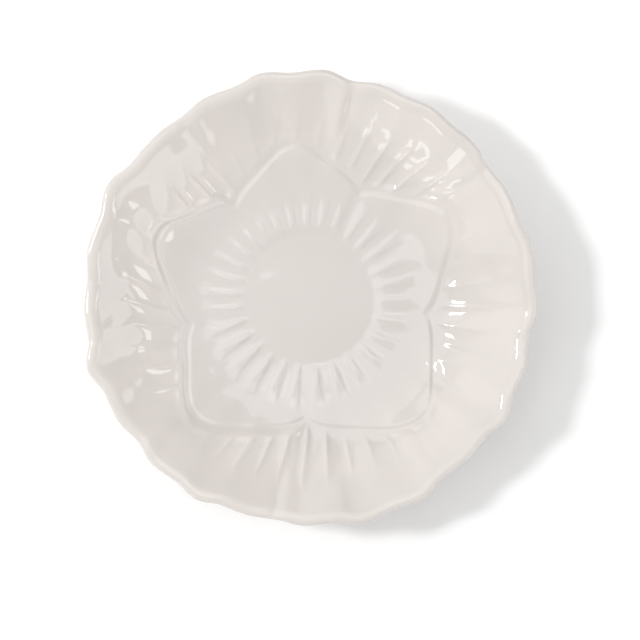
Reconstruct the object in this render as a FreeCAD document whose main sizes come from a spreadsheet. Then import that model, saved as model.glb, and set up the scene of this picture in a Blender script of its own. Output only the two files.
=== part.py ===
import FreeCAD, Part
import Sketcher

import math
import os

# A flower-shaped ring dish: one fired ceramic casting that stands on clear bumper pads.
# Millimetres and degrees, +Z up. The origin lies on the table, under the middle of the dish.
# Angles run anticlockwise from +X, seen from above.

SIZES = {
    # Rim
    "rim_height": 19.0,             # table to the top of the rim
    "notch_radius": 53.7,           # axis to the rim's notches between outer petals
    "notch_drop": 0.8,              # how much lower the rim is at a notch
    "lobe_valley_share": 0.6,       # valley between two lobes, as a share of the lower lobe's reach
    "lip_inner_radius": 4.0,        # the lip is broad on the inside
    "lip_outer_radius": 1.1,        # and tight on the outside
    "rim_slope": 33.0,              # slope of the wall where it meets the lip
    # Floor and wall
    "floor_thickness": 4.4,
    "flat_radius": 23.0,            # the wall starts to rise here
    "disc_radius": 15.4,            # plain disc in the middle
    "disc_drop": 0.3,               # the disc lies this much lower than the petals' roots
    "disc_step_width": 3.0,
    # Inner petals, a raised tier on the floor
    "valley_radius": 29.4,          # axis to the notch between two inner petals
    "shoulder_reach": 3.4,          # shoulders of an inner petal, past its notches
    "tip_spread": 0.4,              # half width of a tip, as a share of half a petal
    "petal_lip_width": 2.4,         # soft fall from the tier to the groove
    "petal_blend": 3.0,             # degrees beside a notch in which a petal takes on its own rise
    "inner_crease_width": 1.8,      # half width of the crease between inner petals
    "scoop_start_rise": 0.15,       # the scoops start this high over the disc's step
    "scoop_length": 11.5,           # and run up to the top of the tier
    "scoop_run_in": 4.0,            # length over which a scoop gets its depth
    "scoop_blend": 0.05,            # rounding where a scoop meets the top of the tier
    # Outer petals
    "flute_depth": 0.5,             # hollows that run up the wall from the groove
    "flute_end_radius": 47.5,
    "flute_fade": 8.0,              # length over which a flute runs out
    "flute_run_in": 1.5,
    "flute_twist": 5.0,             # half the length over which the flutes lean
    "flute_twist_share": 0.62,      # where the lean stops, as a share of the wall
    "crease_width": 1.5,            # half width of the crease between outer petals
    "crease_start_radius": 36.0,
    "crease_fade": 8.0,
    "overlap_width": 7.0,           # how far an overlap reaches along the petal
    # Foot and pads
    "foot_radius": 28.5,
    "foot_ring_width": 3.2,
    "foot_height": 1.9,             # foot ring to the underside of the wall
    "foot_draft": 0.3,              # the foot ring's outside leans in by this much
    "foot_clearance": 0.6,          # table to the foot ring, which the pads hold up
    "pad_diameter": 8.0,
    "pad_height": 1.6,
    "pad_edge_radius": 0.5,
    "pad_wall_gap": 2.0,            # pad to the wall of the recess
}

# The outer petals in turn: angle of the first notch, reach of the three rim lobes past the notches,
# depth of the first crease, how far the first edge stands proud of the petal before,
# and how strong the first and last flutes are
OUTER_PETALS = {
    "angle": [-10.5, 36.5, 78.5, 125.5, 175.5, 219.5, 261.0, 307.5],
    "lobe_1": [1.45, 1.05, 1.75, 0.45, 0.60, 1.15, 0.80, 0.55],
    "lobe_2": [1.30, 1.20, 1.95, 2.20, 2.35, 1.65, 1.90, 2.10],
    "lobe_3": [0.65, 0.85, 0.90, 1.05, 0.90, 0.35, 1.65, 1.00],
    "crease_depth": [0.20, 0.50, 0.50, 0.40, 0.25, 0.25, 0.40, 0.20],
    "overlap": [0.30, 0.45, 0.90, 0.10, 0.15, 0.15, 0.30, -0.20],
    "first_flute_share": [0.5, 1.0, 0.6, 2.2, 1.1, 0.8, 1.2, 0.35],
    "last_flute_share": [0.6, 0.8, 0.5, 1.0, 0.9, 1.1, 0.3, 0.5],
}

# The inner petals in turn: angle of the first notch, angle and radius of the tip, rise over the floor,
# hollow of the scoops under the ridges beside them,
# and the share of the rise that is lost in the first crease
INNER_PETALS = {
    "angle": [-7.0, 64.7, 128.7, 191.6, 267.5],
    "tip_angle": [30.5, 95.5, 156.5, 226.0, 313.5],
    "tip_radius": [39.8, 38.3, 39.2, 39.4, 40.0],
    "rise": [0.55, 0.70, 0.40, 0.62, 0.50],
    "scoop_depth": [0.33, 0.20, 0.16, 0.38, 0.34],
    "crease_share": [0.5, 0.55, 0.35, 0.45, 0.55],
}

# How the flutes lean as they run outwards, in degrees per millimetre, at some angles round the dish
LEANS = {
    "angle": [13.0, 57.0, 100.0, 125.5, 150.0, 175.0, 200.0, 240.0, 284.0, 328.0],
    "lean": [0.0, -0.35, -0.2, 0.2, -0.5, -0.6, -0.5, -0.3, -0.1, 0.0],
}

# Each pad's place round the foot
PADS = {"angle": [90.0, 210.0, 330.0]}

TABLES = {"outer_petal": OUTER_PETALS, "inner_petal": INNER_PETALS, "lean_mark": LEANS, "pad": PADS}

LOBES_PER_PETAL = 3
FLUTES_PER_PETAL = 6
SCOOPS_PER_PETAL = 6
SHOULDER_POWER = 4
SCOOP_FLATNESS = 1.5
FLUTE_FLATNESS = 1.6

# Fineness of the surface's net of poles
COLUMNS_PER_FLUTE = 7
FLOOR_RINGS = 14
PETAL_LIP_RINGS = 6
WALL_RINGS = 14
LIP_RINGS = 10
UNDERSIDE_RINGS = 9
FOOT_RINGS = 3
DEGREE = 3

FULL_TURN_DEGREES = 360.0
RIGHT_ANGLE_DEGREES = 90.0
TOLERANCE = 1e-6

doc = FreeCAD.newDocument("ring_dish")

# Sheet of driving sizes
sheet = doc.addObject("Spreadsheet::Sheet", "sizes")


def all_sizes():
    """Every driving size by name, the petals' and pads' own ones too."""
    named = dict(SIZES)
    for kind, table in TABLES.items():
        for field, values in table.items():
            for number, value in enumerate(values, start=1):
                named[f"{kind}_{number}_{field}"] = value
    return named


for row, (alias, value) in enumerate(all_sizes().items(), start=1):
    sheet.set(f"A{row}", alias)
    sheet.set(f"B{row}", str(value))
    sheet.setAlias(f"B{row}", alias)
doc.recompute()


def size(alias):
    """A driving size, as the sheet holds it."""
    return float(sheet.get(alias))


def table_sizes(kind):
    """The sheet's values for one table, by field."""
    return {
        field: [size(f"{kind}_{number}_{field}") for number in range(1, len(values) + 1)]
        for field, values in TABLES[kind].items()
    }


dim = {alias: size(alias) for alias in SIZES}
outer = table_sizes("outer_petal")
inner = table_sizes("inner_petal")
leans = table_sizes("lean_mark")


# Small curves that the dish is drawn with

def limited(share):
    return min(1.0, max(0.0, share))


def eased(start, end, share):
    """From start to end with a level tangent at both ends."""
    return start + (end - start) * (1 - math.cos(math.pi * limited(share))) / 2


def sweep(start, end, start_slope, end_slope, run, share):
    """Cubic from start to end over a run, with the slope given at each end."""
    square, cube = share ** 2, share ** 3
    level = start * (2 * cube - 3 * square + 1) + end * (3 * square - 2 * cube)
    return level + run * (start_slope * (cube - 2 * square + share) + end_slope * (cube - square))


def bell(distance, width):
    """1 in the middle, falling away softly to either side."""
    return math.exp(-((distance / width) ** 2))


def flattened(hollow, flatness):
    """A hollow from 0 to 1 with its bottom made flatter."""
    return 1 - (1 - hollow) ** flatness


def lower_of(first, second, blend):
    """The lower of two heights, with a rounded change from one to the other."""
    return (first + second - math.hypot(first - second, blend)) / 2


def signed_turn(angle, mark):
    """Degrees from a mark to an angle, the short way round."""
    half_turn = FULL_TURN_DEGREES / 2
    return (angle - mark + half_turn) % FULL_TURN_DEGREES - half_turn


def spread(first, last, count):
    """count values from first up to, but without, last."""
    return [first + (last - first) * step / count for step in range(count)]


def gap_after(marks, index):
    """Degrees from one mark round the dish to the next."""
    return (marks[(index + 1) % len(marks)] - marks[index]) % FULL_TURN_DEGREES


def place_among(marks, angle):
    """The last mark before an angle, and how far the angle lies towards the next one, from 0 to 1."""
    for index, mark in enumerate(marks):
        across = (angle - mark) % FULL_TURN_DEGREES / gap_after(marks, index)
        if across < 1:
            return index, across
    return 0, 0.0


# Outlines of the petals

def rim_radius(angle):
    """The rim's outline: three lobes to an outer petal, between two notches."""
    index, across = place_among(outer["angle"], angle)
    lobes = [outer[f"lobe_{number}"][index] for number in range(1, LOBES_PER_PETAL + 1)]
    marks = [0.0]
    for lobe, following in zip(lobes, lobes[1:] + [0.0]):
        marks += [lobe, dim["lobe_valley_share"] * min(lobe, following)]
    place = across * (len(marks) - 1)
    mark = min(int(place), len(marks) - 2)
    return dim["notch_radius"] + eased(marks[mark], marks[mark + 1], place - mark)


def inner_outline(angle):
    """The inner petals' outline: shoulders that rise from the notches, and a rounded tip."""
    index, across = place_among(inner["angle"], angle)
    tip_turn = (inner["tip_angle"][index] - inner["angle"][index]) % FULL_TURN_DEGREES
    tip = tip_turn / gap_after(inner["angle"], index)
    side = (across - tip) / tip if across < tip else (across - tip) / (1 - tip)
    shoulder = dim["shoulder_reach"] * (1 - side ** SHOULDER_POWER)
    tip_reach = inner["tip_radius"][index] - dim["valley_radius"] - dim["shoulder_reach"]
    return dim["valley_radius"] + shoulder + tip_reach * bell(side, dim["tip_spread"])


# Levels that the pieces share
recess_level = dim["pad_height"]
foot_level = dim["foot_clearance"]
floor_level = recess_level + dim["floor_thickness"]
disc_level = floor_level - dim["disc_drop"]
rim_gradient = math.tan(math.radians(dim["rim_slope"]))
lip_start = RIGHT_ANGLE_DEGREES + dim["rim_slope"]
lip_end = dim["rim_slope"] - RIGHT_ANGLE_DEGREES
foot_edge_radius = dim["foot_radius"] - dim["foot_draft"]
recess_radius = foot_edge_radius - dim["foot_ring_width"]


def lip_point(angle, lift):
    """Radius and height on the lip, at an angle of lift from its outward side."""
    across = place_among(outer["angle"], angle)[1]
    crest = dim["rim_height"] - dim["notch_drop"] * math.cos(math.pi * across) ** 2
    rounding = dim["lip_inner_radius"] if lift > RIGHT_ANGLE_DEGREES else dim["lip_outer_radius"]
    radians = math.radians(lift)
    radius = rim_radius(angle) - dim["lip_outer_radius"] + rounding * math.cos(radians)
    return radius, crest - rounding * (1 - math.sin(radians))


def wall_height(angle, radius):
    """The bowl without its relief: a flat floor and a wall that sweeps up to the lip."""
    end_radius, end_level = lip_point(angle, lip_start)
    run = end_radius - dim["flat_radius"]
    share = limited((radius - dim["flat_radius"]) / run)
    return sweep(disc_level, end_level - dim["disc_drop"], 0.0, rim_gradient, run, share)


def petal_value(field, angle):
    """An inner petal's own value, with an even change from one petal to the next at the notch."""
    index, across = place_among(inner["angle"], angle)
    values, width, blend = inner[field], gap_after(inner["angle"], index), dim["petal_blend"]
    before, after = values[index - 1], values[(index + 1) % len(values)]
    from_first, to_last = across * width, (1 - across) * width
    if from_first < blend:
        return before + (values[index] - before) * (blend + from_first) / (2 * blend)
    if to_last < blend:
        return after + (values[index] - after) * (blend + to_last) / (2 * blend)
    return values[index]


def tier_height(angle, radius):
    """The inner petals' tier over the disc, with its soft lip, its creases and its scoops."""
    across = place_among(inner["angle"], angle)[1]
    from_disc = radius - dim["disc_radius"]
    full_rise, depth = petal_value("rise", angle), petal_value("scoop_depth", angle)
    hollow = flattened(abs(math.cos(math.pi * SCOOPS_PER_PETAL * across)), SCOOP_FLATNESS)
    scoop = depth * hollow * eased(0.0, 1.0, from_disc / dim["scoop_run_in"])
    climb = full_rise + depth - dim["scoop_start_rise"]
    ramp = dim["scoop_start_rise"] + climb * from_disc / dim["scoop_length"] - scoop
    rise = lower_of(full_rise, ramp, dim["scoop_blend"])
    for mark, share in zip(inner["angle"], inner["crease_share"]):
        along = radius * math.radians(signed_turn(angle, mark))
        rise *= 1 - share * bell(along, dim["inner_crease_width"])
    rise *= eased(1.0, 0.0, (radius - inner_outline(angle)) / dim["petal_lip_width"] + 1)
    return eased(0.0, 1.0, from_disc / dim["disc_step_width"]) * (dim["disc_drop"] + rise)


def crease_relief(angle, radius):
    """Creases and overlaps between the outer petals."""
    relief = 0.0
    for mark, depth, overlap in zip(outer["angle"], outer["crease_depth"], outer["overlap"]):
        along = radius * math.radians(signed_turn(angle, mark))
        relief -= depth * bell(along, dim["crease_width"])
        step = math.tanh(along / dim["crease_width"]) * math.exp(-abs(along) / dim["overlap_width"])
        relief += overlap / 2 * step
    return relief * eased(0.0, 1.0, (radius - dim["crease_start_radius"]) / dim["crease_fade"])


def flute_relief(index, across, angle, radius):
    """A hollow that runs up the wall from the groove."""
    place = FLUTES_PER_PETAL * across
    first, last = outer["first_flute_share"][index], outer["last_flute_share"][index]
    strength = first + (last - first) * int(place) / (FLUTES_PER_PETAL - 1)
    strength *= eased(0.0, 1.0, (radius - inner_outline(angle)) / dim["flute_run_in"])
    strength *= eased(1.0, 0.0, (radius - dim["flute_end_radius"]) / dim["flute_fade"] + 1)
    return -dim["flute_depth"] * strength * flattened(abs(math.sin(math.pi * place)), FLUTE_FLATNESS)


def wall_twist(share):
    """Length along which a flute has leaned, at a share of the wall's width."""
    reach, stop = dim["flute_twist"], dim["flute_twist_share"]
    if share < stop:
        return reach * (2 * share / stop - 1)
    return reach * (1 - share) / (1 - stop)


def inside_poles(index, across, angle):
    """Angle, radius and height of one column's poles from the disc's edge to the lip, along the flutes."""
    mark, between = place_among(leans["angle"], angle)
    following = (mark + 1) % len(leans["lean"])
    lean = leans["lean"][mark] + between * (leans["lean"][following] - leans["lean"][mark])
    floor_twists = [eased(0.0, -dim["flute_twist"], share) for share in spread(0.0, 1.0, FLOOR_RINGS)]
    lip_twists = [-dim["flute_twist"]] * PETAL_LIP_RINGS
    wall_twists = [wall_twist(share) for share in spread(0.0, 1.0, WALL_RINGS)]
    poles = []
    for section, twists in enumerate((floor_twists, lip_twists, wall_twists)):
        for share, twist in zip(spread(0.0, 1.0, len(twists)), twists):
            turn = angle + lean * twist
            edge = inner_outline(turn)
            wall_end = lip_point(turn, lip_start)[0]
            bounds = (dim["disc_radius"], edge - dim["petal_lip_width"], edge, wall_end)
            radius = bounds[section] + share * (bounds[section + 1] - bounds[section])
            height = wall_height(turn, radius) + tier_height(turn, radius)
            height += crease_relief(turn, radius) + flute_relief(index, across, turn, radius)
            poles.append((turn, radius, height))
    return poles


def outside_poles(angle):
    """Angle, radius and height of one column's poles over the lip and down to the foot."""
    relief = crease_relief(angle, lip_point(angle, lip_start)[0])
    profile = []
    for lift in spread(lip_start, lip_end, LIP_RINGS):
        radius, height = lip_point(angle, lift)
        profile.append((radius, height + relief * eased(0.0, 1.0, lift / lip_start)))

    start_radius, start_level = lip_point(angle, lip_end)
    foot_top = foot_level + dim["foot_height"]
    run = start_radius - dim["foot_radius"]
    for share in spread(1.0, 0.0, UNDERSIDE_RINGS):
        radius = dim["foot_radius"] + share * run
        profile.append((radius, sweep(foot_top, start_level, 0.0, rim_gradient, run, share)))
    for share in spread(0.0, 1.0, FOOT_RINGS) + [1.0]:
        radius = dim["foot_radius"] - share * dim["foot_draft"]
        profile.append((radius, foot_top + share * (foot_level - foot_top)))
    return [(angle, radius, height) for radius, height in profile]


def column(index, across):
    """Poles of the dish's skin from the disc's edge over the rim to the foot, at a place across a petal."""
    angle = outer["angle"][index] + across * gap_after(outer["angle"], index)
    return [
        FreeCAD.Vector(radius * math.cos(math.radians(turn)), radius * math.sin(math.radians(turn)), height)
        for turn, radius, height in inside_poles(index, across, angle) + outside_poles(angle)
    ]


def dish_skin():
    """The whole glazed skin from the disc's edge over the rim to the foot, as one closed band."""
    columns_per_petal = FLUTES_PER_PETAL * COLUMNS_PER_FLUTE
    poles = [
        column(index, step / columns_per_petal)
        for index in range(len(outer["angle"]))
        for step in range(columns_per_petal)
    ]
    around = list(range(len(poles) + 1))
    down = list(range(len(poles[0]) - DEGREE + 1))
    ends = [DEGREE + 1] + [1] * (len(down) - 2) + [DEGREE + 1]
    surface = Part.BSplineSurface()
    surface.buildFromPolesMultsKnots(
        poles, [1] * len(around), ends, around, down, True, False, DEGREE, DEGREE
    )
    return surface.toShape()


def dish_solid():
    """The skin closed by the disc, the foot ring and the recess that the pads sit in."""
    skin = dish_skin()
    level_edges = [edge for edge in skin.Edges if edge.BoundBox.ZLength < TOLERANCE]
    foot_edge, disc_edge = sorted(level_edges, key=lambda edge: edge.BoundBox.ZMin)
    recess_depth = recess_level - foot_level
    recess_edge = Part.makeCircle(recess_radius, FreeCAD.Vector(0, 0, foot_level))
    recess_wall = recess_edge.extrude(FreeCAD.Vector(0, 0, recess_depth))
    recess_top = Part.makeCircle(recess_radius, FreeCAD.Vector(0, 0, recess_level))
    faces = [
        skin,
        Part.Face(Part.Wire(disc_edge)),
        Part.Face([Part.Wire(foot_edge), Part.Wire(recess_edge)]),
        recess_wall,
        Part.Face(Part.Wire(recess_top)),
    ]
    shell = Part.makeShell(faces)
    shell.sewShape()
    solid = Part.makeSolid(shell)
    if solid.Volume < 0:
        solid.reverse()
    return solid


# Dish
dish = doc.addObject("Part::Feature", "dish_body")
dish.Label = "dish_body"
dish.Shape = dish_solid()
dish.Placement = FreeCAD.Placement()


def foot_pad(number):
    """A round bumper pad, stuck to the ceiling of the foot's recess."""
    body = doc.addObject("PartDesign::Body", f"foot_pad_{number}")
    body.Label = f"foot_pad_{number}"
    table = [plane for plane in body.Origin.OriginFeatures if plane.Role == "XY_Plane"][0]
    outline = body.newObject("Sketcher::SketchObject", f"pad_outline_{number}")
    outline.AttachmentSupport = [(table, "")]
    outline.MapMode = "FlatFace"
    circle = Part.Circle(FreeCAD.Vector(0, 0, 0), FreeCAD.Vector(0, 0, 1), dim["pad_diameter"] / 2)
    outline.addGeometry(circle)
    outline.addConstraint(Sketcher.Constraint("Coincident", 0, 3, -1, 1))
    across = outline.addConstraint(Sketcher.Constraint("Diameter", 0, dim["pad_diameter"]))
    outline.setExpression(f"Constraints[{across}]", "sizes.pad_diameter")
    block = body.newObject("PartDesign::Pad", f"pad_block_{number}")
    block.Profile = outline
    block.setExpression("Length", "sizes.pad_height")
    doc.recompute()
    bottom = [
        f"Edge{count}"
        for count, edge in enumerate(block.Shape.Edges, start=1)
        if edge.BoundBox.ZMax < dim["pad_height"] / 2
    ]
    rounding = body.newObject("PartDesign::Fillet", f"pad_rounding_{number}")
    rounding.Base = (block, bottom)
    rounding.setExpression("Radius", "sizes.pad_edge_radius")
    recess = "sizes.foot_radius - sizes.foot_draft - sizes.foot_ring_width"
    reach = f"({recess} - sizes.pad_wall_gap - sizes.pad_diameter / 2)"
    turn = f"sizes.pad_{number}_angle * 1 deg"
    body.setExpression("Placement.Base.x", f"{reach} * cos({turn})")
    body.setExpression("Placement.Base.y", f"{reach} * sin({turn})")
    return body


# Pads
pads = [foot_pad(number) for number in range(1, len(PADS["angle"]) + 1)]
doc.recompute()

# Every piece is sound before any is written
for item in doc.Objects:
    if "Invalid" in item.State or "Error" in item.State:
        raise RuntimeError(f"{item.Label} failed: {item.State}")
pieces = [dish] + pads
for piece in pieces:
    if piece.Shape.isNull() or not piece.Shape.isValid():
        raise RuntimeError(f"{piece.Label} has no valid shape")

os.makedirs("parts", exist_ok=True)
for piece in pieces:
    piece.Shape.exportStep(f"parts/{piece.Label}.step")
    box = piece.Shape.BoundBox
    print(
        f"{piece.Label}: {len(piece.Shape.Solids)} solid, {piece.Shape.Volume:.1f} mm3, "
        f"x {box.XMin:.2f} to {box.XMax:.2f}, y {box.YMin:.2f} to {box.YMax:.2f}, "
        f"z {box.ZMin:.2f} to {box.ZMax:.2f}"
    )
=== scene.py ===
import math

import bpy
import numpy as np
from mathutils import Matrix, Vector


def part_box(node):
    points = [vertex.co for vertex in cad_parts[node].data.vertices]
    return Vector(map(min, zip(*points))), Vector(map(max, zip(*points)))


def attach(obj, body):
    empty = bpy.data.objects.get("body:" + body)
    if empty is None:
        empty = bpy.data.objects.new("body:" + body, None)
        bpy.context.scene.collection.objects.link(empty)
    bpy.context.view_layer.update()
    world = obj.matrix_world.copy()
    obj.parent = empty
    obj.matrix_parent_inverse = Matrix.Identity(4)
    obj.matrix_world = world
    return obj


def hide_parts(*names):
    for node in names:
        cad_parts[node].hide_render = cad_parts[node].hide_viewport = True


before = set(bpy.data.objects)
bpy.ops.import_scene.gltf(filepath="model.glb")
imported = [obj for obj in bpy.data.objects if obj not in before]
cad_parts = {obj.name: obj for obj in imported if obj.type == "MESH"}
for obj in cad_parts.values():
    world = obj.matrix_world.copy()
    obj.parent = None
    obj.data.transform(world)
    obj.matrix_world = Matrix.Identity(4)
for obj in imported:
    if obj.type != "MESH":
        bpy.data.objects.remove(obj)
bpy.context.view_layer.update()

# A flower-shaped ring dish of cream glazed ceramic on three clear bumper pads.
# The dish is drawn in millimetres and degrees by the same curves as its solid, with finer relief of its own.
# Angles run anticlockwise from +X, seen from above.
MM = 0.001
FULL_TURN = 360.0
RIGHT_ANGLE = 90.0
SEED = 7
random = np.random.default_rng(SEED)

# Levels taken from the frame
dish_low, dish_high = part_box("dish_body")
RIM_HEIGHT = dish_high[2] / MM
FOOT_LEVEL = dish_low[2] / MM
RECESS_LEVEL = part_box("foot_pad_1")[1][2] / MM

# Rim
NOTCH_RADIUS = 53.7
NOTCH_DROP = 0.8
LOBE_VALLEY_SHARE = 0.6
LIP_INNER_RADIUS = 4.0
LIP_OUTER_RADIUS = 1.1
RIM_SLOPE = 33.0

# Floor of the dish
FLOOR_THICKNESS = 4.4
FLOOR_LEVEL = RECESS_LEVEL + FLOOR_THICKNESS
FLAT_RADIUS = 23.0
DISC_RADIUS = 15.4
DISC_DROP = 0.3
DISC_STEP_WIDTH = 3.0

# Inner petals
VALLEY_RADIUS = 29.4
SHOULDER_REACH = 3.4
SHOULDER_POWER = 4
TIP_SPREAD = 0.4
INNER_CREASE_WIDTH = 1.8
PETAL_BLEND = 3.0
SCOOPS_PER_PETAL = 6
SCOOP_START_RISE = 0.15
SCOOP_LENGTH = 11.5
SCOOP_FLATNESS = 1.8
SCOOP_BLEND = 0.05
SCOOP_RIDGE_RUN_IN = 6.0

# Outer petals
FLUTES_PER_PETAL = 6
FLUTE_DEPTH = 0.5
FLUTE_FLATNESS = 1.6
FLUTE_END_RADIUS = 47.5
FLUTE_FADE = 8.0
FLUTE_RUN_IN = 3.0
FLUTE_UNEVENNESS = 0.2
FLUTE_TWIST = 5.0
FLUTE_TWIST_END = 0.62
CREASE_WIDTH = 1.5
CREASE_START_RADIUS = 36.0
CREASE_FADE = 8.0
OVERLAP_WIDTH = 7.0
TOE_WIDTH = 2.4
TOE_FADE = 12.0

# Wobble of a hand-made surface
WOBBLE_WAVES = 10
WOBBLE_LENGTHS = (9.0, 18.0)
WOBBLE_HEIGHT = 0.018

# Foot
FOOT_RADIUS = 28.5
FOOT_RING_WIDTH = 3.2
FOOT_HEIGHT = 1.9
FOOT_DRAFT = 0.3
FOOT_FILLET = 1.2
FOOT_ROUNDING = 0.4
RECESS_FILLET = 0.7

# Pads
PAD_COUNT = 3
PAD_ROUNDING = 0.5
PAD_TAPER = 0.06
PAD_CROWN_ROUNDING = 0.15
PAD_FILM_INSET = 0.25
PAD_FILM_THICKNESS = 0.12
PAD_DIMPLE_RADIUS = 1.1
PAD_DIMPLE_DEPTH = 0.08
PAD_EDGE_SHARE = 1 / 3

# Each outer petal: angle of its first notch, reach of its three rim lobes, depth of its first crease,
# rise of its first edge over the petal before, and how strong its first and last flutes are
OUTER_ANGLES = np.array([-10.5, 36.5, 78.5, 125.5, 175.5, 219.5, 261.0, 307.5])
OUTER_LOBES = np.array([
    (1.45, 1.30, 0.65),
    (1.05, 1.20, 0.85),
    (1.75, 1.95, 0.90),
    (0.45, 2.20, 1.05),
    (0.60, 2.35, 0.90),
    (1.15, 1.65, 0.35),
    (0.80, 1.90, 1.65),
    (0.55, 2.10, 1.00),
])
CREASE_DEPTHS = np.array([0.20, 0.50, 0.50, 0.40, 0.25, 0.25, 0.40, 0.20])
OVERLAPS = np.array([0.30, 0.45, 0.90, 0.10, 0.15, 0.15, 0.30, -0.20])
FLUTE_STRENGTHS = np.array([
    (0.5, 0.6),
    (1.0, 0.8),
    (0.6, 0.5),
    (2.2, 1.0),
    (1.1, 0.9),
    (0.8, 1.1),
    (1.2, 0.3),
    (0.35, 0.5),
])

# How the flutes lean as they run outwards, as a share of the twist, at some angles round the dish
LEAN_ANGLES = [13.0, 57.0, 100.0, 125.5, 150.0, 175.0, 200.0, 240.0, 284.0, 328.0]
FLUTE_LEANS = [0.0, -0.35, -0.2, 0.2, -0.5, -0.6, -0.5, -0.3, -0.1, 0.0]

# Each inner petal: angle of its first notch, angle and radius of its tip, its rise over the floor,
# the width of its soft lip, the depth of its scoops, the share of its rise that is lost in its first crease,
# how far the wall's toe stands over the groove round it, and how far out of the groove the flutes start
INNER_ANGLES = np.array([-7.0, 64.7, 128.7, 191.6, 267.5])
INNER_TIP_ANGLES = np.array([30.5, 95.5, 156.5, 226.0, 313.5])
INNER_TIP_RADII = np.array([39.8, 38.3, 39.2, 39.4, 40.0])
INNER_RISES = np.array([0.45, 0.55, 0.15, 0.30, 0.50])
INNER_LIP_WIDTHS = np.array([2.2, 2.0, 1.4, 1.4, 1.7])
INNER_SCOOP_DEPTHS = np.array([0.50, 0.38, 0.32, 0.75, 0.60])
INNER_CREASE_SHARES = np.array([0.5, 0.55, 0.35, 0.45, 0.55])
TOE_RISES = np.array([0.0, 0.3, 0.8, 0.8, 0.0])
FLUTE_STARTS = np.array([0.0, 0.4, 1.2, 1.2, 0.0])

# Height over the petals in which the glaze changes from the floor's tone to the wall's: partly the glaze's
# own tone, partly painted light, with the floor painted darker as shade and the walls lighter
WALL_TONE_AND_LIGHT_RISE = 5.0

# Fineness of the mesh
COLUMNS_PER_FLUTE = 14
DISC_RINGS = 5
FLOOR_RINGS = 26
PETAL_LIP_RINGS = 14
WALL_RINGS = 40
LIP_RINGS = 20
UNDERSIDE_RINGS = 17
CORNER_RINGS = 5
RECESS_RINGS = 4
PAD_COLUMNS = 96
SHARP_ANGLE = 60.0


# Small curves

def limited(share):
    return np.clip(share, 0.0, 1.0)


def eased(start, end, share):
    """From start to end with a level tangent at both ends."""
    return start + (end - start) * (1 - np.cos(np.pi * limited(share))) / 2


def sweep(start, end, start_slope, end_slope, run, share):
    """Cubic from start to end over a run, with the slope given at each end."""
    square, cube = share ** 2, share ** 3
    level = start * (2 * cube - 3 * square + 1) + end * (3 * square - 2 * cube)
    return level + run * (start_slope * (cube - 2 * square + share) + end_slope * (cube - square))


def flattened(hollow, flatness):
    """A hollow from 0 to 1 with its bottom made flatter."""
    return 1 - (1 - hollow) ** flatness


def lower_of(first, second, blend):
    """The lower of two heights, with a rounded change from one to the other."""
    return (first + second - np.hypot(first - second, blend)) / 2


def steps(count):
    """Shares from 0 up to, but without, 1."""
    return np.arange(count) / count


def petal_widths(starts):
    return (np.roll(starts, -1) - starts) % FULL_TURN


def petal_place(turn, starts):
    """Which petal each angle lies in, and how far across it, from 0 to 1."""
    past = (turn[..., None] - starts) % FULL_TURN
    index = past.argmin(axis=-1)
    return index, past.min(axis=-1) / petal_widths(starts)[index]


def signed_turn(turn, mark):
    """Degrees from a mark to an angle, the short way round."""
    half_turn = FULL_TURN / 2
    return (turn - mark + half_turn) % FULL_TURN - half_turn


# Outlines of the petals

def rim_outline(turn):
    """Radius of the rim: three lobes to a petal, between two notches."""
    index, across = petal_place(turn, OUTER_ANGLES)
    marks = np.zeros((len(OUTER_LOBES), 2 * OUTER_LOBES.shape[1] + 1))
    marks[:, 1::2] = OUTER_LOBES
    marks[:, 2:-1:2] = LOBE_VALLEY_SHARE * np.minimum(OUTER_LOBES[:, :-1], OUTER_LOBES[:, 1:])
    last = marks.shape[1] - 1
    mark = np.minimum((across * last).astype(int), last - 1)
    return NOTCH_RADIUS + eased(marks[index, mark], marks[index, mark + 1], across * last - mark)


def inner_outline(turn):
    """Radius of the inner petals' edge: shoulders that rise from the notches, and a rounded tip."""
    index, across = petal_place(turn, INNER_ANGLES)
    tip = ((INNER_TIP_ANGLES - INNER_ANGLES) % FULL_TURN / petal_widths(INNER_ANGLES))[index]
    side = np.where(across < tip, (tip - across) / tip, (across - tip) / (1 - tip))
    shoulder = SHOULDER_REACH * (1 - side ** SHOULDER_POWER)
    tip_reach = INNER_TIP_RADII[index] - VALLEY_RADIUS - SHOULDER_REACH
    return VALLEY_RADIUS + shoulder + tip_reach * np.exp(-((side / TIP_SPREAD) ** 2))


# Form of the bowl
lip_start = RIGHT_ANGLE + RIM_SLOPE
lip_end = RIM_SLOPE - RIGHT_ANGLE
rim_gradient = math.tan(math.radians(RIM_SLOPE))


def lip_point(turn, lift):
    """Radius and height on the lip, broad inside and tight outside, at a lift from its outward side."""
    across = petal_place(turn, OUTER_ANGLES)[1]
    crest = RIM_HEIGHT - NOTCH_DROP * np.cos(np.pi * across) ** 2
    rounding = LIP_INNER_RADIUS if lift > RIGHT_ANGLE else LIP_OUTER_RADIUS
    lift = math.radians(lift)
    radius = rim_outline(turn) - LIP_OUTER_RADIUS + rounding * math.cos(lift)
    return radius, crest - rounding * (1 - math.sin(lift))


def wall_height(turn, radius):
    """The bowl without its relief: a level floor and a wall that sweeps up to the lip."""
    end_radius, end_level = lip_point(turn, lip_start)
    run = end_radius - FLAT_RADIUS
    share = limited((radius - FLAT_RADIUS) / run)
    return sweep(FLOOR_LEVEL, end_level, 0.0, rim_gradient, run, share)


def petal_value(turn, values):
    """Each inner petal's own value, with an even change from one petal to the next at the notch."""
    starts = INNER_ANGLES + PETAL_BLEND
    ends = INNER_ANGLES + petal_widths(INNER_ANGLES) - PETAL_BLEND
    marks = np.stack([starts, ends], axis=1).ravel()
    return np.interp(turn, marks, np.repeat(values, 2), period=FULL_TURN)


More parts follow.
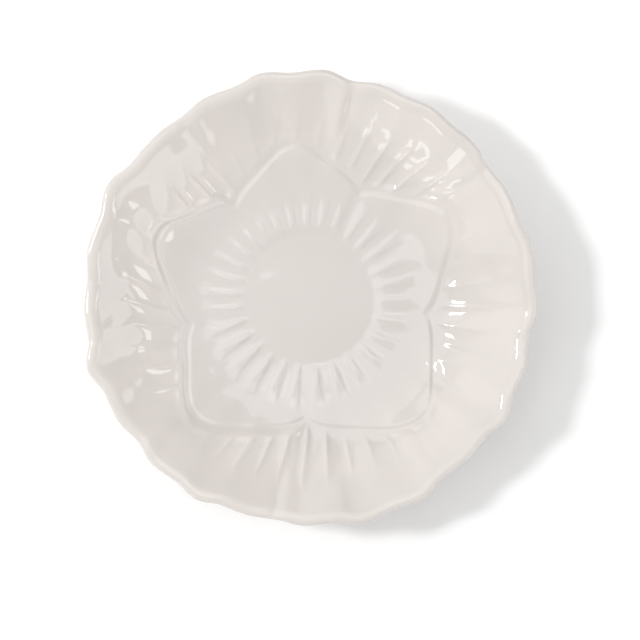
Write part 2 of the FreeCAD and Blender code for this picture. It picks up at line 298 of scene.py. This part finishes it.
def tier_height(turn, radius):
    """The inner petals' tier over the disc: a soft lip, creases, and scoops that run up from the disc."""
    across = petal_place(turn, INNER_ANGLES)[1]
    edge = inner_outline(turn)
    from_disc = radius - DISC_RADIUS
    hollow = flattened(np.abs(np.cos(np.pi * SCOOPS_PER_PETAL * across)), SCOOP_FLATNESS)
    full_rise = petal_value(turn, INNER_RISES)
    depth = petal_value(turn, INNER_SCOOP_DEPTHS)
    ramp = full_rise + depth * (from_disc / SCOOP_LENGTH - hollow)
    ridge = eased(SCOOP_START_RISE, full_rise, from_disc / SCOOP_RIDGE_RUN_IN)
    rise = lower_of(ridge, ramp, SCOOP_BLEND)
    to_crease = radius[..., None] * np.radians(signed_turn(turn[..., None], INNER_ANGLES))
    creases = (INNER_CREASE_SHARES * np.exp(-((to_crease / INNER_CREASE_WIDTH) ** 2))).sum(axis=-1)
    lip_fall = eased(1.0, 0.0, (radius - edge) / petal_value(turn, INNER_LIP_WIDTHS) + 1)
    out_of_disc = eased(0.0, 1.0, from_disc / DISC_STEP_WIDTH)
    return out_of_disc * (DISC_DROP + rise * (1 - limited(creases)) * lip_fall)


def toe_relief(turn, radius):
    """The foot of the wall, which stands over the groove round some of the inner petals."""
    past_edge = radius - inner_outline(turn)
    fade = eased(1.0, 0.0, (past_edge - TOE_WIDTH) / TOE_FADE)
    return petal_value(turn, TOE_RISES) * eased(0.0, 1.0, past_edge / TOE_WIDTH) * fade


def crease_relief(turn, radius):
    """Creases and overlaps between the outer petals."""
    relief = np.zeros_like(radius)
    for mark, depth, overlap in zip(OUTER_ANGLES, CREASE_DEPTHS, OVERLAPS):
        along = radius * np.radians(signed_turn(turn, mark))
        relief -= depth * np.exp(-((along / CREASE_WIDTH) ** 2))
        relief += overlap / 2 * np.tanh(along / CREASE_WIDTH) * np.exp(-np.abs(along) / OVERLAP_WIDTH)
    return relief * eased(0.0, 1.0, (radius - CREASE_START_RADIUS) / CREASE_FADE)


wave_turns = random.uniform(0, 2 * np.pi, WOBBLE_WAVES)
wave_numbers = 2 * np.pi / random.uniform(*WOBBLE_LENGTHS, WOBBLE_WAVES)
wave_phases = random.uniform(0, 2 * np.pi, WOBBLE_WAVES)


def wobble(turn, radius):
    """Slight waves in many directions."""
    along = radius[..., None] * np.cos(np.radians(turn)[..., None] - wave_turns)
    return WOBBLE_HEIGHT * np.sin(wave_numbers * along + wave_phases).sum(axis=-1)


# Columns of the mesh run along the flutes, so that each ridge between two flutes lies on a column
columns_per_petal = FLUTES_PER_PETAL * COLUMNS_PER_FLUTE
column_petal = np.repeat(np.arange(len(OUTER_ANGLES)), columns_per_petal)
column_across = np.tile(steps(columns_per_petal), len(OUTER_ANGLES))
column_angle = OUTER_ANGLES[column_petal] + column_across * petal_widths(OUTER_ANGLES)[column_petal]
column_lean = np.interp(column_angle, LEAN_ANGLES, FLUTE_LEANS, period=FULL_TURN)


def flute_relief(turn, radius):
    """Hollows that run up the wall from near the groove, each a little deeper or shallower than the next."""
    place = FLUTES_PER_PETAL * column_across
    unevenness = FLUTE_UNEVENNESS * random.uniform(-1, 1, (len(OUTER_ANGLES), FLUTES_PER_PETAL))
    strengths = np.linspace(FLUTE_STRENGTHS[:, 0], FLUTE_STRENGTHS[:, 1], FLUTES_PER_PETAL, axis=1)
    strength = (strengths * (1 + unevenness))[column_petal, place.astype(int)]
    start = inner_outline(turn) + petal_value(turn, FLUTE_STARTS)
    length = eased(0.0, 1.0, (radius - start) / FLUTE_RUN_IN)
    length = length * eased(1.0, 0.0, (radius - FLUTE_END_RADIUS + FLUTE_FADE) / FLUTE_FADE)
    hollow = flattened(np.abs(np.sin(np.pi * place)), FLUTE_FLATNESS)
    return -FLUTE_DEPTH * strength * length * hollow


def top_rings():
    """Angle, radius and height of each ring from the disc out to the lip."""
    counts = [DISC_RINGS, FLOOR_RINGS, PETAL_LIP_RINGS, WALL_RINGS]
    section = np.repeat(np.arange(len(counts)), counts)
    share = np.concatenate([steps(count) for count in counts])
    twist = np.concatenate([
        np.zeros(DISC_RINGS),
        eased(0.0, -FLUTE_TWIST, steps(FLOOR_RINGS)),
        np.full(PETAL_LIP_RINGS, -FLUTE_TWIST),
        np.interp(steps(WALL_RINGS), [0, FLUTE_TWIST_END, 1], [-FLUTE_TWIST, FLUTE_TWIST, 0]),
    ])
    turn = column_angle + twist[:, None] * column_lean
    edge = inner_outline(turn)
    bounds = np.stack([
        np.full_like(edge, DISC_RADIUS / DISC_RINGS),
        np.full_like(edge, DISC_RADIUS),
        edge - INNER_LIP_WIDTHS.max(),
        edge,
        lip_point(turn, lip_start)[0],
    ])
    ring = np.arange(len(section))
    first, last = bounds[section, ring], bounds[section + 1, ring]
    radius = first + (last - first) * share[:, None]
    height = wall_height(turn, radius) - DISC_DROP + tier_height(turn, radius)
    height += toe_relief(turn, radius) + crease_relief(turn, radius)
    height += flute_relief(turn, radius) + wobble(turn, radius)
    return turn, radius, height


def lip_rings():
    """The lip, which carries the creases over the rim and loses them on its outward side."""
    lifts = np.linspace(lip_start, lip_end, LIP_RINGS, endpoint=False)
    points = np.array([lip_point(column_angle, lift) for lift in lifts])
    fade = eased(1.0, 0.0, 1 - lifts / lip_start)
    start_radius = lip_point(column_angle, lip_start)[0]
    relief = crease_relief(column_angle, start_radius) + wobble(column_angle, start_radius)
    turn = np.broadcast_to(column_angle, points[:, 0].shape)
    return turn, points[:, 0], points[:, 1] + fade[:, None] * relief


def rounded(corners, sizes):
    """Points along a line whose corners are rounded, each by its own size."""
    corners = np.array(corners, dtype=float)
    points = [corners[:1]]
    share = np.linspace(0.0, 1.0, CORNER_RINGS)[:, None]
    for before, corner, after, reach in zip(corners, corners[1:], corners[2:], sizes):
        start = corner + (before - corner) * reach / np.linalg.norm(before - corner)
        end = corner + (after - corner) * reach / np.linalg.norm(after - corner)
        points.append((1 - share) ** 2 * start + 2 * share * (1 - share) * corner + share ** 2 * end)
    return np.concatenate(points + [corners[-1:]])


def base_rings():
    """The underside of the wall, the foot ring, and the recess that the pads sit in."""
    start_radius, start_level = lip_point(column_angle, lip_end)
    foot_top = FOOT_LEVEL + FOOT_HEIGHT
    run = start_radius - FOOT_RADIUS
    fillet_share = FOOT_FILLET / run
    share = fillet_share + (1 - fillet_share) * (1 - steps(UNDERSIDE_RINGS)[:, None])
    under_radius = FOOT_RADIUS + share * run
    under_height = sweep(foot_top, start_level, 0.0, rim_gradient, run, share)

    foot_edge = FOOT_RADIUS - FOOT_DRAFT
    recess = foot_edge - FOOT_RING_WIDTH
    corners = [
        (FOOT_RADIUS + FOOT_FILLET, foot_top),
        (FOOT_RADIUS, foot_top),
        (foot_edge, FOOT_LEVEL),
        (recess, FOOT_LEVEL),
        (recess, RECESS_LEVEL),
        (recess / 2, RECESS_LEVEL),
    ]
    profile = rounded(corners, [FOOT_FILLET, FOOT_ROUNDING, FOOT_ROUNDING, RECESS_FILLET])[1:]
    middle = np.linspace(recess / 2, recess / 2 / RECESS_RINGS, RECESS_RINGS)[1:]
    radii = np.concatenate([profile[:, 0], middle])
    levels = np.concatenate([profile[:, 1], np.full(len(middle), RECESS_LEVEL)])
    round_ring = np.ones_like(column_angle)
    radius = np.concatenate([under_radius, radii[:, None] * round_ring])
    height = np.concatenate([under_height, levels[:, None] * round_ring])
    return np.broadcast_to(column_angle, radius.shape), radius, height


# Meshes

def new_object(name, data):
    item = bpy.data.objects.new(name, data)
    bpy.context.scene.collection.objects.link(item)
    return item


def closed_mesh(name, turn, radius, height, first_level, last_level):
    """Rings joined into one closed skin, with a point on the axis before the first and after the last."""
    rings, columns = radius.shape
    turn = np.radians(turn)
    points = np.stack([radius * np.cos(turn), radius * np.sin(turn), height], axis=-1).reshape(-1, 3)
    points = np.vstack([points, (0, 0, first_level), (0, 0, last_level)]) * MM
    here = np.arange(columns)
    after = np.roll(here, -1)
    first, last = len(points) - 2, len(points) - 1
    faces = [(first, a, b) for a, b in zip(here, after)]
    for start in range(0, (rings - 1) * columns, columns):
        below = start + columns
        faces += [(start + a, below + a, below + b, start + b) for a, b in zip(here, after)]
    end = (rings - 1) * columns
    faces += [(last, end + b, end + a) for a, b in zip(here, after)]
    mesh = bpy.data.meshes.new(name)
    mesh.from_pydata(points.tolist(), [], faces)
    mesh.shade_smooth()
    mesh.set_sharp_from_angle(angle=math.radians(SHARP_ANGLE))
    return mesh


def add_values(mesh, name, values):
    """A value at each point of the rings, for the material to read, and 0 at the two points on the axis."""
    attribute = mesh.attributes.new(name, "FLOAT", "POINT")
    attribute.data.foreach_set("value", np.append(values.ravel(), (0.0, 0.0)).astype(np.float32))


def dish_mesh():
    parts = [top_rings(), lip_rings(), base_rings()]
    turn, radius, height = [np.concatenate(rows) for rows in zip(*parts)]
    mesh = closed_mesh("dish", turn, radius, height, height[0, 0], RECESS_LEVEL)
    over_petals = height - FLOOR_LEVEL - INNER_RISES.max()
    # The share from floor to wall carries painted shade on the floor and painted light on the walls, as well
    # as the glaze's own tone
    add_values(mesh, "wall_tone_and_light_share", eased(0.0, 1.0, over_petals / WALL_TONE_AND_LIGHT_RISE))
    add_values(mesh, "bare_clay", height < FOOT_LEVEL + FOOT_ROUNDING / 2)
    return mesh


def pad_mesh(name, low, high):
    """A clear bumper under its adhesive film: rounded at the table, with a shallow dimple in its face."""
    middle = (low + high) / 2 / MM
    outer, height = (high - low)[0] / MM / 2, (high - low)[2] / MM
    film_level = height - PAD_FILM_THICKNESS
    film = outer - PAD_FILM_INSET
    foot = outer - PAD_TAPER
    corners = [
        (film / 2, height),
        (film, height),
        (film, film_level),
        (outer, film_level),
        (foot, 0.0),
        (PAD_DIMPLE_RADIUS, 0.0),
        (PAD_DIMPLE_RADIUS / 2, PAD_DIMPLE_DEPTH),
    ]
    film_edge = PAD_EDGE_SHARE * PAD_FILM_THICKNESS
    dimple_edge = PAD_EDGE_SHARE * PAD_DIMPLE_RADIUS
    profile = rounded(corners, [film_edge, film_edge, PAD_CROWN_ROUNDING, PAD_ROUNDING, dimple_edge])
    turn = np.linspace(0.0, FULL_TURN, PAD_COLUMNS, endpoint=False)
    radius, level = [np.broadcast_to(values[:, None], (len(profile), PAD_COLUMNS)) for values in profile.T]
    mesh = closed_mesh(name, turn, radius, level, height, PAD_DIMPLE_DEPTH)
    mesh.transform(Matrix.Translation((middle[0] * MM, middle[1] * MM, low[2])))
    return mesh


# Colours
# The floor's cream is darker than the walls' partly as painted shade, where the walls keep light off the
# floor, and partly as the glaze's own tone
FLOOR_CREAM_AND_SHADE = (0.765, 0.720, 0.688)
WALL_CREAM_AND_LIGHT = (0.812, 0.759, 0.717)
CLOUD_CREAM = (0.745, 0.700, 0.666)
PINHOLE_BROWN = (0.42, 0.37, 0.32)
CLAY = (0.72, 0.67, 0.60)
CLAY_SPECK = (0.55, 0.49, 0.42)
CLEAR_PAD = (0.86, 0.88, 0.86)
YELLOWED_PAD = (0.84, 0.83, 0.74)

# Noise: cells to a metre, levels of detail, and the range from low to high that is stretched to start and end
CLOUDS = {"scale": 55.0, "detail": 3.0, "low": 0.45, "high": 0.75, "start": 0.0, "end": 0.7}
CLAY_GRAIN = {"scale": 2500.0, "detail": 4.0, "low": 0.5, "high": 0.65, "start": 0.0, "end": 1.0}
GLAZE_ROUGHNESS = {"scale": 300.0, "detail": 2.0, "low": 0.3, "high": 0.7, "start": 0.012, "end": 0.032}
YELLOWING = {"scale": 400.0, "detail": 3.0, "low": 0.35, "high": 0.7, "start": 0.0, "end": 1.0}
PAD_ROUGHNESS = {"scale": 1500.0, "detail": 5.0, "low": 0.3, "high": 0.7, "start": 0.15, "end": 0.4}
GLAZE_RIPPLES = {"scale": 260.0, "detail": 2.0}
PAD_SCUFFS = {"scale": 1800.0, "detail": 3.0}

# Pinholes: cells to a metre, size in cells, and the share of the cells that have one
PINHOLES = {"scale": 130.0, "size": 0.022, "share": 0.12}

# Other values of the surfaces, with depths in millimetres
GLAZE_IOR = 1.52
GLAZE_RIPPLE_DEPTH = 0.013
CLAY_ROUGHNESS = 0.85
PAD_IOR = 1.49
PAD_CLEARNESS = 0.55
PAD_SCUFF_DEPTH = 0.02

# Numbers of the sockets of the node that mixes colours
MIX_SOCKETS = {"share": 0, "first": 6, "second": 7, "result": 2}


# Materials

class Shading:
    """A material's nodes, with short ways to add and join them."""

    def __init__(self, name):
        self.material = bpy.data.materials.new(name)
        self.material.use_nodes = True
        self.tree = self.material.node_tree
        self.shader = self.tree.nodes["Principled BSDF"]
        self.place = self.node("ShaderNodeTexCoord").outputs["Object"]

    def node(self, kind, **settings):
        node = self.tree.nodes.new(kind)
        for key, value in settings.items():
            setattr(node, key, value)
        return node

    def join(self, source, socket):
        """A socket gets another node's output, or a plain value."""
        if isinstance(source, bpy.types.NodeSocket):
            self.tree.links.new(source, socket)
        else:
            socket.default_value = source

    def noise(self, scale, detail):
        node = self.node("ShaderNodeTexNoise")
        self.join(self.place, node.inputs["Vector"])
        self.join(scale, node.inputs["Scale"])
        self.join(detail, node.inputs["Detail"])
        return node.outputs["Fac"]

    def ranged(self, value, low, high, start, end):
        """A value's range from low to high, stretched to run from start to end."""
        node = self.node("ShaderNodeMapRange")
        sources = {"Value": value, "From Min": low, "From Max": high, "To Min": start, "To Max": end}
        for key, source in sources.items():
            self.join(source, node.inputs[key])
        return node.outputs["Result"]

    def ranged_noise(self, scale, detail, low, high, start, end):
        return self.ranged(self.noise(scale, detail), low, high, start, end)

    def mixed(self, share, first, second):
        """Two colours mixed by a share."""
        node = self.node("ShaderNodeMix", data_type="RGBA")
        self.join(share, node.inputs[MIX_SOCKETS["share"]])
        for key, colour in (("first", first), ("second", second)):
            source = (*colour, 1.0) if isinstance(colour, tuple) else colour
            self.join(source, node.inputs[MIX_SOCKETS[key]])
        return node.outputs[MIX_SOCKETS["result"]]

    def maths(self, operation, first, second):
        node = self.node("ShaderNodeMath", operation=operation)
        self.join(first, node.inputs[0])
        self.join(second, node.inputs[1])
        return node.outputs[0]

    def product(self, first, second):
        return self.maths("MULTIPLY", first, second)

    def larger(self, first, second):
        return self.maths("MAXIMUM", first, second)

    def value(self, name):
        """A value that the mesh carries."""
        return self.node("ShaderNodeAttribute", attribute_name=name).outputs["Fac"]

    def specks(self, scale, size, share):
        """Round specks in a share of the cells that the surface is divided into."""
        node = self.node("ShaderNodeTexVoronoi")
        self.join(self.place, node.inputs["Vector"])
        self.join(scale, node.inputs["Scale"])
        inside = self.ranged(node.outputs["Distance"], size, size / 2, 0.0, 1.0)
        return self.product(inside, self.maths("LESS_THAN", node.outputs["Color"], share))

    def set(self, **sources):
        """Sockets of the shader, named with _ for a space."""
        for name, source in sources.items():
            self.join(source, self.shader.inputs[name.replace("_", " ")])

    def bumps(self, height, depth):
        node = self.node("ShaderNodeBump")
        self.join(depth * MM, node.inputs["Distance"])
        self.join(height, node.inputs["Height"])
        self.set(Normal=node.outputs["Normal"])


def glaze_material():
    """Glossy cream glaze, cloudy and slightly rippled, with pinholes, bare clay on the foot's face, and a
    floor painted darker than the walls, partly as painted shade and partly as the glaze's own tone.
    """
    look = Shading("cream_glaze")
    bare = look.value("bare_clay")
    # Painted shade darkens the floor and painted light brightens the walls, mixed with the glaze's own tone
    cream = look.mixed(look.value("wall_tone_and_light_share"), FLOOR_CREAM_AND_SHADE, WALL_CREAM_AND_LIGHT)
    cream = look.mixed(look.ranged_noise(**CLOUDS), cream, CLOUD_CREAM)
    cream = look.mixed(look.specks(**PINHOLES), cream, PINHOLE_BROWN)
    clay = look.mixed(look.ranged_noise(**CLAY_GRAIN), CLAY, CLAY_SPECK)
    roughness = look.larger(look.ranged_noise(**GLAZE_ROUGHNESS), look.product(bare, CLAY_ROUGHNESS))
    look.set(Base_Color=look.mixed(bare, cream, clay), Roughness=roughness, IOR=GLAZE_IOR)
    look.bumps(look.noise(**GLAZE_RIPPLES), GLAZE_RIPPLE_DEPTH)
    return look.material


def pad_material():
    """Clear soft plastic, a little yellowed and scuffed."""
    look = Shading("clear_pad")
    tint = look.mixed(look.ranged_noise(**YELLOWING), CLEAR_PAD, YELLOWED_PAD)
    roughness = look.ranged_noise(**PAD_ROUGHNESS)
    look.set(Base_Color=tint, Roughness=roughness, IOR=PAD_IOR, Transmission_Weight=PAD_CLEARNESS)
    look.bumps(look.noise(**PAD_SCUFFS), PAD_SCUFF_DEPTH)
    return look.material


# Pieces of the object

def new_piece(name, mesh, material, node):
    item = new_object(name, mesh)
    item.data.materials.append(material)
    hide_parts(node)
    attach(item, "root")


new_piece("dish", dish_mesh(), glaze_material(), "dish_body")
pad_look = pad_material()
for number in range(1, PAD_COUNT + 1):
    node = f"foot_pad_{number}"
    box = [Vector(corner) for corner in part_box(node)]
    new_piece(f"pad_{number}", pad_mesh(f"pad_{number}", *box), pad_look, node)


# Stage floor, in metres, which glows a little to the camera, in reflections and through the pads
STAGE_HALF = 3.0
STAGE_DROP = 0.0001
STAGE_WHITE = (0.92, 0.92, 0.92, 1.0)
STAGE_ROUGHNESS = 0.9
STAGE_GLOW = 0.16
floor_corners = [(-1, -1), (1, -1), (1, 1), (-1, 1)]
floor_points = [(x * STAGE_HALF, y * STAGE_HALF, -STAGE_DROP) for x, y in floor_corners]
floor_mesh = bpy.data.meshes.new("floor")
floor_mesh.from_pydata(floor_points, [], [list(range(len(floor_points)))])
floor = new_object("floor", floor_mesh)
floor_look = Shading("white_floor")
rays = floor_look.node("ShaderNodeLightPath").outputs
indirect = floor_look.larger(rays["Is Glossy Ray"], rays["Is Transmission Ray"])
seen = floor_look.larger(rays["Is Camera Ray"], indirect)
floor_look.set(Base_Color=STAGE_WHITE, Roughness=STAGE_ROUGHNESS, Specular_IOR_Level=0.0)
floor_look.set(Emission_Color=STAGE_WHITE, Emission_Strength=floor_look.product(seen, STAGE_GLOW))
floor.data.materials.append(floor_look.material)

# Sky, white to the camera and dim to the rest
SKY_WHITE = (1, 1, 1, 1)
SKY_STRENGTH = 0.1
world = bpy.data.worlds.new("studio")
world.use_nodes = True
bpy.context.scene.world = world
sky_tree = world.node_tree
sky = sky_tree.nodes["Background"]
sky.inputs["Color"].default_value = SKY_WHITE
sky_rays = sky_tree.nodes.new("ShaderNodeLightPath")
sky_level = sky_tree.nodes.new("ShaderNodeMapRange")
sky_level.inputs["To Min"].default_value = SKY_STRENGTH
sky_tree.links.new(sky_rays.outputs["Is Camera Ray"], sky_level.inputs["Value"])
sky_tree.links.new(sky_level.outputs["Result"], sky.inputs["Strength"])

# Lamps, all at one distance in metres
# Each has the azimuth and elevation of its middle, its width and height, all in degrees, and its brightness
LAMP_DISTANCE = 1.5
LAMPS = {
    "key": (170, 48.5, 7.5, 7.5, 78.0),
    "overhead": (127, 66, 56, 41, 1.26),
    "overhead_near": (48, 81, 18, 10, 1.08),
    "softbox": (134, 30, 84, 24, 0.92),
    "fill_right": (-19, 22, 96, 26, 2.08),
    "fill_front": (232, 24, 80, 26, 0.75),
    "window_right": (-4, 42, 20, 8, 4.2),
    "window_front": (227, 34.5, 15, 7, 3.2),
    "window_front_low": (227, 25.3, 15, 2.6, 3.2),
}


def lamp(name, azimuth, elevation, width, height, brightness):
    """A rectangular lamp that faces the dish, whose power follows its area and its brightness."""
    data = bpy.data.lights.new(name, "AREA")
    data.shape = "RECTANGLE"
    data.size = 2 * LAMP_DISTANCE * math.tan(math.radians(width / 2))
    data.size_y = 2 * LAMP_DISTANCE * math.tan(math.radians(height / 2))
    data.energy = brightness * math.pi * data.size * data.size_y
    around, up = math.radians(azimuth), math.radians(elevation)
    direction = Vector((math.cos(around) * math.cos(up), math.sin(around) * math.cos(up), math.sin(up)))
    item = new_object(name, data)
    item.location = LAMP_DISTANCE * direction
    item.rotation_euler = direction.to_track_quat("Z", "Y").to_euler()


for lamp_name, lamp_values in LAMPS.items():
    lamp(lamp_name, *lamp_values)

# Camera: size of the picture, pixels to a millimetre at the rim, and the dish's middle in the picture,
# with the distance over the rim and the sensor's width in millimetres
PHOTO_SIZE = 640
RIM_PIXELS_PER_MM = 4.155
DISH_PIXEL = (309.2, 299.3)
CAMERA_DISTANCE = 750.0
SENSOR = 36.0
camera_data = bpy.data.cameras.new("camera")
camera_data.sensor_width = SENSOR
camera_data.lens = SENSOR * CAMERA_DISTANCE * RIM_PIXELS_PER_MM / PHOTO_SIZE
camera = new_object("camera", camera_data)
camera.location = MM * Vector((
    (PHOTO_SIZE / 2 - DISH_PIXEL[0]) / RIM_PIXELS_PER_MM,
    (DISH_PIXEL[1] - PHOTO_SIZE / 2) / RIM_PIXELS_PER_MM,
    RIM_HEIGHT - LIP_OUTER_RADIUS + CAMERA_DISTANCE,
))
bpy.context.scene.camera = camera
bpy.context.scene.view_settings.view_transform = "Standard"
